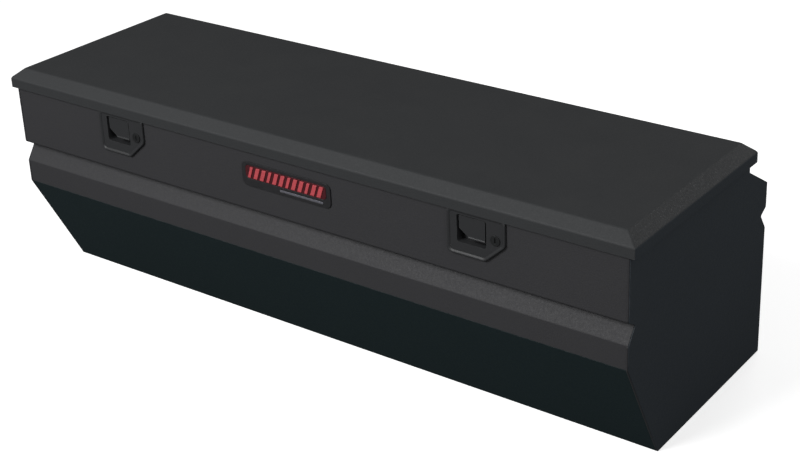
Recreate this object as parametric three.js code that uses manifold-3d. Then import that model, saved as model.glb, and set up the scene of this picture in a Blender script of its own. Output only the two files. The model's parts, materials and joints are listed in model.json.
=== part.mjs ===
// Truck tool box: a wedge-front chest with a bevelled lid, two paddle latches and two gas struts.
// Millimetres, +X along the length, -Y to the front, +Z up. Origin: middle of the footprint, on the ground.
import * as THREE from 'three';
import { mergeVertices } from 'three/addons/utils/BufferGeometryUtils.js';
import Module from 'manifold-3d';

const wasm = await Module();
wasm.setup();
const UPRIGHT = new THREE.Vector3(0, 1, 0);

// ---------------------------------------------------------------- driving dimensions
const BODY_LENGTH = 1400;
const LID_LENGTH = 1422;
const SHEET = 2; // sheet thickness
const GAP = 0.3; // clearance between pieces that touch
const BEND = 3; // inside radius of a sheet bend

// Outline of the body, seen from the end
const Y_FRONT = -248; // front panel's outer face
const Y_REAR = 254; // rear panel's outer face
const Y_WEDGE_FOOT = -140; // where the wedge meets the floor
const Z_WEDGE = 213.5; // top of the wedge
const GROOVE_DEPTH = 20;
const Z_GROOVE_LOW = 259;
const Z_GROOVE_MID = 289;
const Z_GROOVE_HIGH = 300;
const Z_DECK_LOW = 349; // rear edge of the sloped deck
const Z_DECK_HIGH = 397;
const Y_RIM_REAR = 177; // outer face of the rear rim wall
const Z_RIM = 427; // top of the rim flange
const RIM_WIDTH_FRONT = 24;
const RIM_WIDTH_END = 18;
const SEAL_IN = 9; // middle of the seal, in from the rim's end
const SEAL_WIDTH = 9;
const SEAL_CORNER = 14;

// Lid
const LID_FRONT = -254;
const LID_REAR = 183;
const LID_TOP = 457;
const LID_BEVEL = 20; // width of the front and rear bevels, seen from above
const LID_BEVEL_END = 24; // width of the end bevels
const Z_BEVEL = 438; // foot of the bevel
const Z_LIP = 418; // lower edge of the lip
const Z_LINER = 437.7; // underside of the lid's inner pan
const LINER_SHEET = 1.5;
const STIFFENER_SHEET = 1.2;
const STIFFENER_END = 640; // half length of the hat channels under the lid

// Hinge
const KNUCKLE_RADIUS = 4.2;
const LEAF = 1.6;
const LEAF_WIDTH = 34; // of the body leaf, down the deck
const PIN_RADIUS = 2.2;
const HINGE_LENGTH = 1380;
const KNUCKLES = 16;
const HINGE_Y = LID_REAR + GAP + KNUCKLE_RADIUS;

// Latches
const LATCH_X = 410;
const LATCH_Z = 379;
const PADDLE_PIN_IN = 6; // pin axis behind the front panel's face
const PADDLE_PIN_UP = 26; // pin axis above the latch's centre
const DISH_DEPTH = 16;
const LOCK_ACROSS = 40;
const LOCK_UP = 2;
const BADGE_Z = 373; // middle of the badge on the front panel

// Gas struts
const STRUT_X = 664;
const STRUT_FOOT = [62, 172]; // Y, Z of the pivot on the body
const STRUT_HEAD = [22, 420]; // Y, Z of the pivot on the lid
const TUBE_RADIUS = 7.5;
const ROD_RADIUS = 4;

const deckSlope = (Z_DECK_HIGH - Z_DECK_LOW) / (Y_REAR - Y_RIM_REAR);
const deckAngle = Math.atan(deckSlope);
const deckHeight = (y) => Z_DECK_LOW + (Y_REAR - y) * deckSlope;
const HINGE_Z = deckHeight(HINGE_Y) + (KNUCKLE_RADIUS + GAP) / Math.cos(deckAngle);

// ---------------------------------------------------------------- finishes
const finish = (color, roughness, metalness) => ({ color, roughness, metalness });
const COAT = finish(0x1b1d20, 0.75, 0.1);
const COAT_INNER = finish(0x24262a, 0.7, 0.1);
const LATCH_COAT = finish(0x202226, 0.45, 0.4);
const ZINC = finish(0x9a9c9e, 0.4, 0.9);
const STEEL = finish(0xb4b7ba, 0.25, 1.0);
const RUBBER = finish(0x141414, 0.9, 0.0);
const BADGE_BLACK = finish(0x0e0f10, 0.35, 0.1);
const BADGE_RED = finish(0xb01020, 0.35, 0.0);

// ---------------------------------------------------------------- solids
function toManifold(geometry) {
  const bare = geometry.clone();
  bare.deleteAttribute('normal');
  bare.deleteAttribute('uv');
  const merged = mergeVertices(bare, 1e-4);
  const mesh = new wasm.Mesh({
    numProp: 3,
    vertProperties: new Float32Array(merged.attributes.position.array),
    triVerts: new Uint32Array(merged.index.array),
  });
  return new wasm.Manifold(mesh);
}

function toGeometry(solid) {
  const mesh = solid.getMesh();
  const geometry = new THREE.BufferGeometry();
  geometry.setAttribute('position', new THREE.BufferAttribute(mesh.vertProperties, 3));
  geometry.setIndex(new THREE.BufferAttribute(mesh.triVerts, 1));
  geometry.computeVertexNormals();
  return geometry;
}

const join = (...solids) => solids.reduce((a, b) => a.add(b));
const cut = (solid, ...tools) => tools.reduce((a, b) => a.subtract(b), solid);

function box(x0, x1, y0, y1, z0, z1) {
  const geometry = new THREE.BoxGeometry(x1 - x0, y1 - y0, z1 - z0);
  geometry.translate((x0 + x1) / 2, (y0 + y1) / 2, (z0 + z1) / 2);
  return toManifold(geometry);
}

function shapeOf(points) {
  return new THREE.Shape(points.map(([a, b]) => new THREE.Vector2(a, b)));
}

// Extrudes an outline given as (Y, Z) points from x0 to x1.
function alongX(points, x0, x1) {
  const geometry = new THREE.ExtrudeGeometry(shapeOf(points), { depth: x1 - x0, bevelEnabled: false });
  geometry.rotateX(Math.PI / 2);
  geometry.rotateZ(Math.PI / 2);
  geometry.translate(x0, 0, 0);
  return toManifold(geometry);
}

// Extrudes an outline given as (X, Z) points from y0 to y1.
function alongY(points, y0, y1) {
  const geometry = new THREE.ExtrudeGeometry(shapeOf(points), { depth: y1 - y0, bevelEnabled: false });
  geometry.rotateX(Math.PI / 2);
  geometry.translate(0, y1, 0);
  return toManifold(geometry);
}

// Extrudes an outline given as (X, Y) points from z0 to z1.
function alongZ(points, z0, z1) {
  const geometry = new THREE.ExtrudeGeometry(shapeOf(points), { depth: z1 - z0, bevelEnabled: false });
  geometry.translate(0, 0, z0);
  return toManifold(geometry);
}

// Round bar between two points.
function bar(from, to, radius, sides = 20) {
  const a = new THREE.Vector3(...from);
  const b = new THREE.Vector3(...to);
  const geometry = new THREE.CylinderGeometry(radius, radius, a.distanceTo(b), sides);
  const way = b.clone().sub(a).normalize();
  geometry.applyQuaternion(new THREE.Quaternion().setFromUnitVectors(UPRIGHT, way));
  geometry.translate((a.x + b.x) / 2, (a.y + b.y) / 2, (a.z + b.z) / 2);
  return toManifold(geometry);
}

// Turned piece: a profile of (radius, height) points, its axis from one point towards another.
function turned(profile, from, to, sides = 20) {
  const geometry = new THREE.LatheGeometry(profile.map(([r, h]) => new THREE.Vector2(r, h)), sides);
  const a = new THREE.Vector3(...from);
  const way = new THREE.Vector3(...to).sub(a).normalize();
  geometry.applyQuaternion(new THREE.Quaternion().setFromUnitVectors(UPRIGHT, way));
  geometry.translate(a.x, a.y, a.z);
  return toManifold(geometry);
}

// ---------------------------------------------------------------- outlines
// Rounds a corner at b, between a and c, with an arc in the given number of steps.
function arcAt(a, b, c, radius, steps) {
  const toA = new THREE.Vector2(a[0] - b[0], a[1] - b[1]);
  const toC = new THREE.Vector2(c[0] - b[0], c[1] - b[1]);
  const reach = Math.min(toA.length(), toC.length()) * 0.49;
  toA.normalize();
  toC.normalize();
  const half = Math.acos(THREE.MathUtils.clamp(toA.dot(toC), -1, 1)) / 2;
  const back = Math.min(radius / Math.tan(half), reach);
  const r = back * Math.tan(half);
  const middle = toA.clone().add(toC).normalize().multiplyScalar(r / Math.sin(half));
  const centre = new THREE.Vector2(b[0], b[1]).add(middle);
  const start = new THREE.Vector2(b[0], b[1]).addScaledVector(toA, back).sub(centre);
  const end = new THREE.Vector2(b[0], b[1]).addScaledVector(toC, back).sub(centre);
  const sweep = Math.atan2(start.x * end.y - start.y * end.x, start.dot(end));
  const points = [];
  for (let i = 0; i <= steps; i += 1) {
    const turn = (sweep * i) / steps;
    const x = start.x * Math.cos(turn) - start.y * Math.sin(turn);
    const y = start.x * Math.sin(turn) + start.y * Math.cos(turn);
    points.push([centre.x + x, centre.y + y]);
  }
  return points;
}

// Closed outline with every corner rounded: each point is [a, b] or [a, b, radius].
function rounded(points, radius, steps = 3) {
  const n = points.length;
  return points.flatMap((p, i) => {
    const own = p.length > 2 ? p[2] : radius;
    if (own === 0) return [[p[0], p[1]]];
    return arcAt(points[(i + n - 1) % n], p, points[(i + 1) % n], own, steps);
  });
}

// Moves an open line sideways by a distance, to the left of its direction.
function shifted(points, distance) {
  const left = (a, b) => new THREE.Vector2(a[1] - b[1], b[0] - a[0]).normalize();
  return points.map((p, i) => {
    const before = i > 0 ? left(points[i - 1], p) : null;
    const after = i < points.length - 1 ? left(p, points[i + 1]) : null;
    if (!before || !after) {
      const n = before || after;
      return [p[0] + n.x * distance, p[1] + n.y * distance];
    }
    const mitre = before.clone().add(after).normalize();
    const reach = distance / mitre.dot(after);
    return [p[0] + mitre.x * reach, p[1] + mitre.y * reach];
  });
}

// Rounds the inner corners of an open line; the side that bends outwards gets the larger radius.
function bent(points, outerOnLeft) {
  return points.flatMap((p, i) => {
    if (i === 0 || i === points.length - 1) return [p];
    const a = points[i - 1];
    const c = points[i + 1];
    const turn = (p[0] - a[0]) * (c[1] - p[1]) - (p[1] - a[1]) * (c[0] - p[0]);
    const convex = outerOnLeft ? turn < 0 : turn > 0;
    return arcAt(a, p, c, convex ? BEND + SHEET : BEND, 3);
  });
}

// Closed outline of a bent sheet whose outer face is the given line and whose metal lies to its left.
function sheetOutline(line, thickness = SHEET) {
  const inner = shifted(line, thickness);
  return [...bent(line, false), ...bent(inner, true).reverse()];
}

// ---------------------------------------------------------------- assembly
const root = new THREE.Group();

function add(name, solid, look) {
  const mesh = new THREE.Mesh(toGeometry(solid), new THREE.MeshStandardMaterial(look));
  mesh.name = name;
  root.add(mesh);
}

const halfBody = BODY_LENGTH / 2;
const halfLid = LID_LENGTH / 2;
const halfSheet = halfBody - SHEET - GAP; // half length of the sheets between the end panels
const yGroove = Y_FRONT + GROOVE_DEPTH;
const yGrooveRear = Y_REAR - GROOVE_DEPTH;
const sides = [['left', -1], ['right', 1]];

// ---- latch outlines, across and up from the latch's centre, seen from the front
const BEZEL = [[-57, 41, 6], [60, 41, 6], [60, -6, 12], [20, -42, 12], [-57, -42, 9]];
const DISH = [[-37, 32, 4], [22, 32, 4], [22, -19, 5], [-37, -19, 5]];
const CUTOUT = [[-49, 35, 5], [53, 35, 5], [53, -4, 10], [17, -35, 10], [-49, -35, 7]];
const atLatch = (outline, side) => outline.map(([u, v, r]) => [u + side * LATCH_X, v + LATCH_Z, r]);

function buildShell() {
  const front = sheetOutline([
    [Y_FRONT + RIM_WIDTH_FRONT, Z_RIM],
    [Y_FRONT, Z_RIM],
    [Y_FRONT, Z_GROOVE_HIGH],
    [yGroove, Z_GROOVE_MID],
    [Y_FRONT, Z_GROOVE_LOW],
    [Y_FRONT, Z_WEDGE + GAP],
  ]);
  const opening = (side) => alongY(rounded(atLatch(CUTOUT, side), 5), Y_FRONT - 5, Y_FRONT + 12);
  add('front_panel', cut(alongX(front, -halfSheet, halfSheet), opening(-1), opening(1)), COAT);

  const wedgeX = Y_WEDGE_FOOT - Y_FRONT;
  const lean = Math.hypot(wedgeX, Z_WEDGE);
  const inward = [Z_WEDGE / lean, wedgeX / lean].map((c) => c * SHEET);
  const yFloor = Y_WEDGE_FOOT + inward[0] + 0.8; // where the wedge's inner face meets the ground
  const wedge = [
    [Y_FRONT, Z_WEDGE],
    [Y_WEDGE_FOOT, 0],
    [yFloor, 0],
    [Y_FRONT + inward[0], Z_WEDGE],
  ];
  add('wedge_panel', alongX(wedge, -halfSheet, halfSheet), COAT);

  const floor = [
    [yFloor + GAP, 0],
    [Y_REAR - SHEET - GAP, 0],
    [Y_REAR - SHEET - GAP, SHEET],
    [yFloor + GAP, SHEET],
  ];
  add('floor_panel', alongX(floor, -halfSheet, halfSheet), COAT);

  const rear = sheetOutline([
    [Y_REAR, 0],
    [Y_REAR, Z_GROOVE_LOW],
    [yGrooveRear, Z_GROOVE_MID],
    [Y_REAR, Z_GROOVE_HIGH],
    [Y_REAR, Z_DECK_LOW - GAP],
  ]);
  add('rear_panel', alongX(rear, -halfSheet, halfSheet), COAT);

  const deck = sheetOutline([
    [Y_REAR, Z_DECK_LOW],
    [Y_RIM_REAR, Z_DECK_HIGH],
    [Y_RIM_REAR, Z_RIM],
    [Y_RIM_REAR - RIM_WIDTH_FRONT, Z_RIM],
  ]);
  const trim = box(-halfBody, halfBody, Y_REAR - 20, Y_REAR + 5, Z_DECK_LOW - 30, Z_DECK_LOW);
  add('rear_deck', cut(alongX(deck, -halfSheet, halfSheet), trim), COAT);

  const endOutline = rounded([
    [Y_FRONT, Z_RIM, 5],
    [Y_FRONT, Z_GROOVE_HIGH, 5],
    [yGroove, Z_GROOVE_MID, 3],
    [Y_FRONT, Z_GROOVE_LOW, 5],
    [Y_FRONT, Z_WEDGE, 0],
    [Y_WEDGE_FOOT, 0, 0],
    [Y_REAR, 0, 0],
    [Y_REAR, Z_GROOVE_LOW, 5],
    [yGrooveRear, Z_GROOVE_MID, 3],
    [Y_REAR, Z_GROOVE_HIGH, 5],
    [Y_REAR, Z_DECK_LOW, 0],
    [Y_RIM_REAR, Z_DECK_HIGH, 3],
    [Y_RIM_REAR, Z_RIM, 5],
  ], 5);
  for (const [name, side] of sides) {
    const x = [side * (halfBody - SHEET), side * halfBody].sort((a, b) => a - b);
    add(`${name}_end_panel`, alongX(endOutline, x[0], x[1]), COAT);
  }

  // Rim angle: an upright leg on the end panel and a flange level with the other rim flanges.
  const y0 = Y_FRONT + RIM_WIDTH_FRONT + GAP;
  const y1 = Y_RIM_REAR - RIM_WIDTH_FRONT - GAP;
  for (const [name, side] of sides) {
    const line = [[halfSheet, Z_RIM - 30], [halfSheet, Z_RIM], [halfSheet - RIM_WIDTH_END, Z_RIM]];
    const outline = sheetOutline(line);
    const solid = alongY(outline.map(([x, z]) => [side * x, z]), y0, y1);
    add(`${name}_rim_angle`, solid, COAT_INNER);
  }

  // Seal on the rim: a broad foot and a narrower bulb above it.
  const sealRing = (grow) => {
    const x = halfSheet - SEAL_IN + grow;
    const front = Y_FRONT + SEAL_IN + 3 - grow;
    const back = Y_RIM_REAR - SEAL_IN - 3 + grow;
    return rounded([[-x, front], [x, front], [x, back], [-x, back]], SEAL_CORNER + grow, 5);
  };
  const low = Z_RIM + GAP;
  const high = Z_LINER - GAP;
  const ring = (wide, z0, z1) => {
    const outside = alongZ(sealRing(wide / 2), z0, z1);
    return cut(outside, alongZ(sealRing(-wide / 2), z0 - 1, z1 + 1));
  };
  const bulb = ring(SEAL_WIDTH - 3.5, high - 4, high);
  add('lid_seal', join(ring(SEAL_WIDTH, low, high - 3), bulb), RUBBER);
}

function buildLid() {
  // Solid of the lid's outside, drawn in by a wall thickness and carried down to a height.
  const hull = (wall, bottom) => {
    const f = LID_FRONT + wall;
    const r = LID_REAR - wall;
    const x = halfLid - wall;
    const top = LID_TOP - wall;
    const foot = Z_BEVEL - wall * 0.4;
    const slope = (top - foot) / (LID_TOP - Z_BEVEL);
    const tray = (a, b, bevel) => {
      const run = bevel * slope;
      return [[a, bottom], [b, bottom], [b, foot], [b - run, top], [a + run, top], [a, foot]];
    };
    return alongX(tray(f, r, LID_BEVEL), -x, x).intersect(alongY(tray(-x, x, LID_BEVEL_END), f, r));
  };
  add('lid_skin', cut(hull(0, Z_LIP), hull(SHEET, Z_LIP - 5)), COAT);

  const linerY = [LID_FRONT + 9, LID_REAR - 9];
  const linerX = halfLid - 9;
  const liner = box(-linerX, linerX, linerY[0], linerY[1], Z_LINER, Z_LINER + LINER_SHEET);
  add('lid_liner', liner, COAT_INNER);

  const low = Z_LINER + LINER_SHEET + GAP;
  const high = LID_TOP - SHEET - GAP;
  const crown = high - STIFFENER_SHEET;
  for (const [name, y] of [['front', -140], ['rear', 70]]) {
    const hat = [[-40, low], [-22, low], [-14, crown], [14, crown], [22, low], [40, low]];
    const line = hat.map(([u, z]) => [y + u, z]);
    const outline = [...line, ...shifted(line, STIFFENER_SHEET).reverse()];
    add(`lid_stiffener_${name}`, alongX(outline, -STIFFENER_END, STIFFENER_END), ZINC);
  }
}

function buildHinge() {
  const pitch = HINGE_LENGTH / KNUCKLES;
  const x0 = -HINGE_LENGTH / 2;
  const onAxis = (from, to, radius) => bar([from, HINGE_Y, HINGE_Z], [to, HINGE_Y, HINGE_Z], radius, 16);
  const bore = onAxis(x0 - 1, -x0 + 1, PIN_RADIUS + 0.15);
  // Every second knuckle along the axis, each longer or shorter than its pitch by twice the margin.
  const everySecond = (first, margin, radius) => {
    const tubes = [];
    for (let i = first; i < KNUCKLES; i += 2) {
      tubes.push(onAxis(x0 + i * pitch - margin, x0 + (i + 1) * pitch + margin, radius));
    }
    return join(...tubes);
  };
  // A leaf with its own knuckles, notched where the other leaf's knuckles turn.
  const hinged = (leaf, first) => {
    const notched = cut(leaf, everySecond(1 - first, 0.2, KNUCKLE_RADIUS + 0.5));
    return cut(join(notched, everySecond(first, -0.2, KNUCKLE_RADIUS)), bore);
  };

  // Lid leaf: stands up behind the lid's rear lip.
  const face = HINGE_Y - KNUCKLE_RADIUS;
  add('hinge_lid_leaf', hinged(box(x0, -x0, face, face + LEAF, HINGE_Z, Z_BEVEL - 6), 0), COAT);

  // Body leaf: lies on the sloped deck.
  const down = Math.cos(deckAngle);
  const over = Math.sin(deckAngle);
  const at = (along, lift) => [HINGE_Y + down * along + over * lift, HINGE_Z - over * along + down * lift];
  const low = -KNUCKLE_RADIUS;
  const high = LEAF - KNUCKLE_RADIUS;
  const strip = [at(0, low), at(LEAF_WIDTH, low), at(LEAF_WIDTH, high), at(0, high)];
  add('hinge_body_leaf', hinged(alongX(strip, x0, -x0), 1), COAT);

  add('hinge_pin', onAxis(x0 + 0.5, -x0 - 0.5, PIN_RADIUS), STEEL);
}

// One latch. Across, up and in are measured from its centre on the front panel's outer face.
function buildLatch(name, side) {
  const X = (across) => side * LATCH_X + across;
  const Y = (inward) => Y_FRONT + inward;
  const Z = (up) => LATCH_Z + up;
  const block = (u0, u1, w0, w1, v0, v1) => box(X(u0), X(u1), Y(w0), Y(w1), Z(v0), Z(v1));
  const plate = (outline, w0, w1) => alongY(rounded(atLatch(outline, side), 5), Y(w0), Y(w1));
  const rod = (u0, u1, w, v, r, n) => bar([X(u0), Y(w), Z(v)], [X(u1), Y(w), Z(v)], r, n);
  const shrink = (outline, d) => outline.map(([u, v, r]) => [u - Math.sign(u) * d, v - Math.sign(v) * d, r]);
  const pin = [PADDLE_PIN_IN, PADDLE_PIN_UP];

  // Gasket and housing
  add(`${name}_latch_gasket`, cut(plate(BEZEL, -1.1, -GAP), plate(CUTOUT, -2, 1)), RUBBER);
  const shell = join(plate(BEZEL, -2.6, -1.4), plate(shrink(DISH, -1.5), -2.6, DISH_DEPTH + 1.5));
  const lockAt = (w) => [X(LOCK_ACROSS), Y(w), Z(LOCK_UP)];
  const onLock = (w0, w1, r, n) => bar(lockAt(w0), lockAt(w1), r, n);
  const armSlot = block(-13.5, -6.5, 14, 20, -10, 31);
  const dish = join(cut(shell, plate(DISH, -4, DISH_DEPTH)), onLock(-2, DISH_DEPTH + 1, 11, 24));
  const pinHoles = rod(-40, 25, pin[0], pin[1], 2.3, 12);
  add(`${name}_latch_housing`, cut(dish, onLock(-4, 24, 8.3, 20), armSlot, pinHoles), LATCH_COAT);

  // Paddle: a plate with a cut corner and a rolled lower edge, hung on a pin; its arm works the bolt.
  const paddleTop = pin[1] + 3.5;
  const faceLine = [[-34, paddleTop], [-34, 6], [-15, -8], [18, -8], [18, paddleTop]];
  const face = alongY(faceLine.map(([u, v]) => [X(u), Z(v)]), Y(0), Y(2.2));
  const returns = [block(-34, -32, 0, 10, 8, paddleTop), block(16, 18, 0, 10, -5, paddleTop)];
  const roll = rod(-15, 18, 0.6, -8, 2.2, 14);
  const hub = rod(-16, -4, pin[0], pin[1], 4.4, 16);
  const web = block(-16, -4, 1, pin[0], pin[1] - 3, pin[1] + 3);
  const armLine = [
    [pin[0] - 2, paddleTop],
    [32, paddleTop],
    [38, 6],
    [34, 6],
    [29, pin[1] - 4],
    [pin[0] - 2, pin[1] - 4],
  ];
  const arm = alongX(armLine.map(([w, v]) => [Y(w), Z(v)]), X(-12), X(-8));
  const paddle = join(face, ...returns, roll, hub, web, arm);
  add(`${name}_latch_paddle`, cut(paddle, rod(-40, 25, pin[0], pin[1], 2.3, 12)), LATCH_COAT);
  add(`${name}_latch_paddle_pin`, rod(-38.2, 23.2, pin[0], pin[1], 2, 12), STEEL);

  // Return spring round the pin: a coil whose wire is swept along a helix
  const turns = 5;
  const coil = new (class extends THREE.Curve {
    getPoint(t) {
      const a = t * turns * Math.PI * 2;
      return new THREE.Vector3(X(-2 + 8 * t), Y(pin[0]) + 3 * Math.cos(a), Z(pin[1]) + 3 * Math.sin(a));
    }
  })();
  const wire = [];
  for (let i = 0; i < 6; i += 1) {
    wire.push(new THREE.Vector2(0.45 * Math.cos((i * Math.PI) / 3), 0.45 * Math.sin((i * Math.PI) / 3)));
  }
  const spring = new THREE.ExtrudeGeometry(new THREE.Shape(wire), { steps: turns * 14, extrudePath: coil });
  add(`${name}_latch_paddle_spring`, toManifold(spring), STEEL);

  // Lock cylinder with a key slot, and its cam
  const keyed = cut(
    join(onLock(-4.4, -2.6 - GAP, 9.5, 24), onLock(-4, 26, 8, 20)),
    block(LOCK_ACROSS - 1, LOCK_ACROSS + 1, -6, 4, LOCK_UP - 5, LOCK_UP + 5),
  );
  add(`${name}_latch_lock_cylinder`, keyed, STEEL);
  const camOutline = rounded([[-8, 8, 7], [8, 8, 7], [6, -22, 5], [-6, -22, 5]], 5, 4);
  const cam = alongY(camOutline.map(([u, v]) => [X(LOCK_ACROSS + u), Z(LOCK_UP + v)]), Y(26.3), Y(28.8));
  add(`${name}_latch_lock_cam`, cam, ZINC);

  // Hat bracket that clamps the housing from inside
  const hat = [
    [-66, 2.3], [-54, 2.3], [-51, 18], [55, 18], [58, 2.3], [70, 2.3],
    [70, 3.8], [59.3, 3.8], [56.3, 19.5], [-52.3, 19.5], [-55.3, 3.8], [-66, 3.8],
  ];
  const hatSolid = alongZ(hat.map(([u, w]) => [X(u), Y(w)]), Z(-20), Z(33));
  const lockWay = onLock(10, 24, 9, 20);
  add(`${name}_latch_backplate`, cut(hatSolid, lockWay, block(-14, -6, 15, 22, -10, 34)), ZINC);

  // Bolt guide, an open channel, and the bolt that slides in it
  const channel = cut(block(-25, 5, 19.8, 46, 0, 13), block(-22.3, 2.3, 19, 47, 3, 14));
  const guide = cut(channel, block(-14, -6, 19, 47, -1, 4));
  const guideFloor = block(-25, 5, 40, 46, 0, 2.7);
  add(`${name}_latch_bolt_guide`, join(guide, guideFloor), ZINC);
  const nose = [[29, 3.3], [54.4, 3.3], [54.4, 7], [49, 12], [29, 12]];
  const bolt = alongX(nose.map(([w, v]) => [Y(w), Z(v)]), X(-22), X(2));
  add(`${name}_latch_bolt`, cut(bolt, block(-13, -7, 31.8, 41.6, 0, 20)), STEEL);

  // Striker on the lid: a plate with a window, hung from a foot on the liner
  const up = Z_LINER - GAP - LATCH_Z;
  const striker = join(block(-32, 12, 55, 57, -8, up), block(-32, 12, 55, 78, up - 2, up));
  add(`${name}_latch_striker`, cut(striker, block(-24, 4, 53, 59, 1, 14)), ZINC);
}

function buildStrut(name, side) {
  const [fy, fz] = STRUT_FOOT;
  const [hy, hz] = STRUT_HEAD;
  const length = Math.hypot(hy - fy, hz - fz);
  const way = [(hy - fy) / length, (hz - fz) / length];
  const x = side * STRUT_X;
  const along = (d) => [x, fy + way[0] * d, fz + way[1] * d];
  const across = (from, to, [y, z], r, n) => bar([side * from, y, z], [side * to, y, z], r, n);
  const eye = (centre) => across(STRUT_X - 4, STRUT_X + 4, centre, 9, 20);
  const studHole = (centre) => across(STRUT_X - 6, STRUT_X + 6, centre, ROD_RADIUS + GAP, 16);

  // Tube: closed foot, hollow, with a guide bush at its mouth
  const mouth = 226;
  const bush = ROD_RADIUS + GAP;
  const bore = TUBE_RADIUS - 1.2;
  const wall = [
    [0, 8], [TUBE_RADIUS, 8], [TUBE_RADIUS, mouth], [bush, mouth],
    [bush, mouth - 10], [bore, mouth - 10], [bore, 22], [0, 22],
  ];
  const tube = turned(wall, along(0), along(1));
  const footEye = cut(join(tube, eye(STRUT_FOOT)), studHole(STRUT_FOOT));
  add(`${name}_strut_tube`, footEye, LATCH_COAT);

  // Rod with its piston and head eye
  const top = length - 6;
  const profile = [[0, 26], [5.8, 26], [5.8, 34], [ROD_RADIUS, 34], [ROD_RADIUS, top], [0, top]];
  const rod = turned(profile, along(0), along(1));
  const head = cut(join(rod, eye(STRUT_HEAD)), studHole(STRUT_HEAD));
  add(`${name}_strut_rod`, head, STEEL);

  // Bracket on the end panel, with the stud that carries the tube
  const inner = halfBody - SHEET - GAP;
  const corners = [[-22, -28], [22, -28], [22, 28], [-22, 28]];
  const plate = rounded(corners.map(([y, z]) => [fy + y, fz + z]), 8);
  const xs = [side * (inner - 3), side * inner].sort((a, b) => a - b);
  const shoulder = across(STRUT_X + 5, inner - 1, STRUT_FOOT, 6, 16);
  const stud = across(STRUT_X - 5, inner - 1, STRUT_FOOT, ROD_RADIUS, 16);
  add(`${name}_strut_body_bracket`, join(alongX(plate, xs[0], xs[1]), shoulder, stud), ZINC);

  // Bracket under the lid; its stud stops short of the rod's eye
  const under = Z_LINER - GAP;
  const lugOutline = [[hy - 16, under], [hy - 9, hz - 8], [hy + 9, hz - 8], [hy + 16, under]];
  const lx = [side * (STRUT_X + 8), side * (STRUT_X + 10.5)].sort((a, b) => a - b);
  const bx = [side * (STRUT_X - 22), side * (STRUT_X + 10.5)].sort((a, b) => a - b);
  const base = box(bx[0], bx[1], hy - 20, hy + 20, under - 2.5, under);
  const headStud = across(STRUT_X + 4.6, STRUT_X + 9, STRUT_HEAD, 5, 16);
  add(`${name}_strut_lid_bracket`, join(alongX(lugOutline, lx[0], lx[1]), base, headStud), ZINC);
}

function buildBadge() {
  const y = Y_FRONT - GAP;
  const slab = (w, h, cx, cz, y0, y1, r) => {
    const corners = [[-w / 2, -h / 2], [w / 2, -h / 2], [w / 2, h / 2], [-w / 2, h / 2]];
    return alongY(rounded(corners.map(([u, v]) => [cx + u, BADGE_Z + cz + v]), r, 5), y0, y1);
  };
  const plate = slab(206, 48, 0, 0, y - 2.2, y, 12);
  const recesses = [slab(188, 27, 0, 5, y - 4, y - 1.2, 8), slab(101, 5, 36, -15.5, y - 4, y - 1.2, 2.4)];
  add('badge_plate', cut(plate, ...recesses), BADGE_BLACK);
  add('badge_inlay', slab(187, 26, 0, 5, y - 2.6, y - 1.5, 7.5), BADGE_RED);
  add('badge_rule', slab(100, 4, 36, -15.5, y - 2.6, y - 1.5, 1.9), STEEL);
}

buildShell();
buildLid();
buildHinge();
for (const [name, side] of sides) buildLatch(name, side);
for (const [name, side] of sides) buildStrut(name, side);
buildBadge();

export default root;
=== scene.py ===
"""Looks of the truck tool box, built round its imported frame. Metres, +X along the length, +Z up."""

import json
import math

import bmesh
import bpy
from bpy.props import FloatProperty, FloatVectorProperty, IntProperty, PointerProperty
from mathutils import Matrix, Vector

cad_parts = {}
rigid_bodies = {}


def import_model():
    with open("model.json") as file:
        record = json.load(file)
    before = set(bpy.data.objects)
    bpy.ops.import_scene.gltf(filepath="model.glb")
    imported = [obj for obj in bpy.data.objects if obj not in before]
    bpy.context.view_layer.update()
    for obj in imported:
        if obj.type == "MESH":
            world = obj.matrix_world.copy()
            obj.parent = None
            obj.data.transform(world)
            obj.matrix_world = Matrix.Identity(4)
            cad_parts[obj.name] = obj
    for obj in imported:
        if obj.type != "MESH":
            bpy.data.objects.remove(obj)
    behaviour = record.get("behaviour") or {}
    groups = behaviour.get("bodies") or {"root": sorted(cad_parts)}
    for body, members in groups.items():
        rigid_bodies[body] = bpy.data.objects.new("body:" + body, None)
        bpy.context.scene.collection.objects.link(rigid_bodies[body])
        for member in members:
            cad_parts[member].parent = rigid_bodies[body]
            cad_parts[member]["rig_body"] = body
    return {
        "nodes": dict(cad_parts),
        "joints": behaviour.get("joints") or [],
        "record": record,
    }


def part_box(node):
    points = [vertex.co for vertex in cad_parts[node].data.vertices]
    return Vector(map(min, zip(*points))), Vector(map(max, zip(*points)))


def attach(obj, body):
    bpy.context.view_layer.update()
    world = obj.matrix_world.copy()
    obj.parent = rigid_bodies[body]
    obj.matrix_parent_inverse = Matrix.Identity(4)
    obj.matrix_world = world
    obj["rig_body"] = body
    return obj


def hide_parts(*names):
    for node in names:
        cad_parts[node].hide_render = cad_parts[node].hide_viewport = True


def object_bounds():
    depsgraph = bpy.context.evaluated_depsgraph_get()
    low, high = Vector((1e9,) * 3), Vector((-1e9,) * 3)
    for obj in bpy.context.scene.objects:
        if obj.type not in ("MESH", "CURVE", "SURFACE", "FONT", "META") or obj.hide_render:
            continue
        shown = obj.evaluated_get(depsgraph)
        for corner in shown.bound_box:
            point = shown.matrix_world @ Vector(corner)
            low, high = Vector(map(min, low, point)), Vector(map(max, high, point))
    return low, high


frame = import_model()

bl_info = {
    "name": "Truck Tool Box",
    "version": (1, 0, 0),
    "blender": (4, 5, 0),
    "location": "View3D > Sidebar > Tool Box",
    "description": "Wedge-front chest with a bevelled lid, paddle latches and gas struts",
    "category": "Object",
}

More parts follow.
